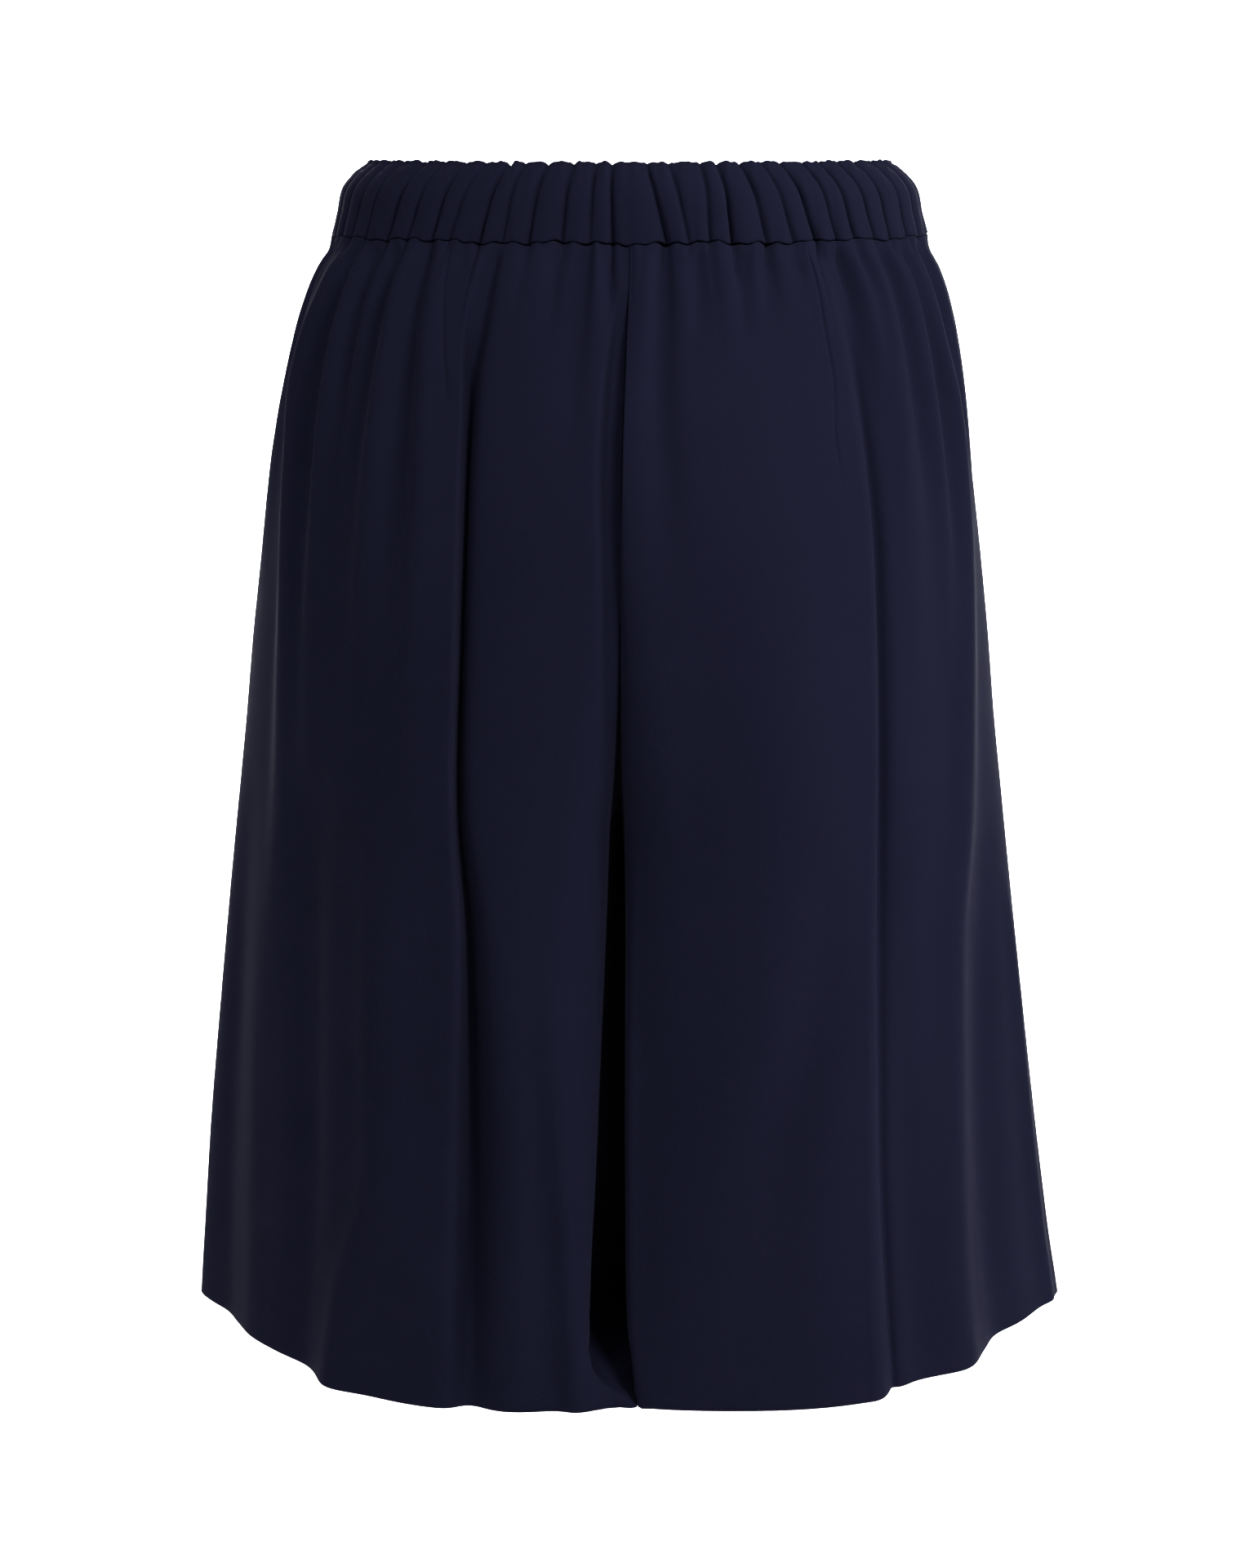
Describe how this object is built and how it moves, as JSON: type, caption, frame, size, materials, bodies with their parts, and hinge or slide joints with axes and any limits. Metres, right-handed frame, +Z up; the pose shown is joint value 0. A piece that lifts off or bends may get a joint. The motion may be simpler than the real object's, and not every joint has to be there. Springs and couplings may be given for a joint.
{
  "type": "bermuda shorts",
  "caption": "Wide-leg bermuda shorts with a gathered elastic waistband and back darts, filled out as if worn, open at waist and hems.",
  "frame": {"origin": "middle of the waistband, where the wearer's waist holds the shorts", "axes": "+Z up towards the waist, -Y to the wearer's back, +X to the wearer's right"},
  "size_m": [0.425, 0.2989, 0.5545],
  "materials": {
    "navy_crepe": "matt woven crepe with a soft sheen"
  },
  "bodies": {
    "root": {"waistband_back": "navy_crepe", "waistband_front": "navy_crepe", "back_left": "navy_crepe", "back_right": "navy_crepe", "front_left": "navy_crepe", "front_right": "navy_crepe"}
  },
  "joints": []
}
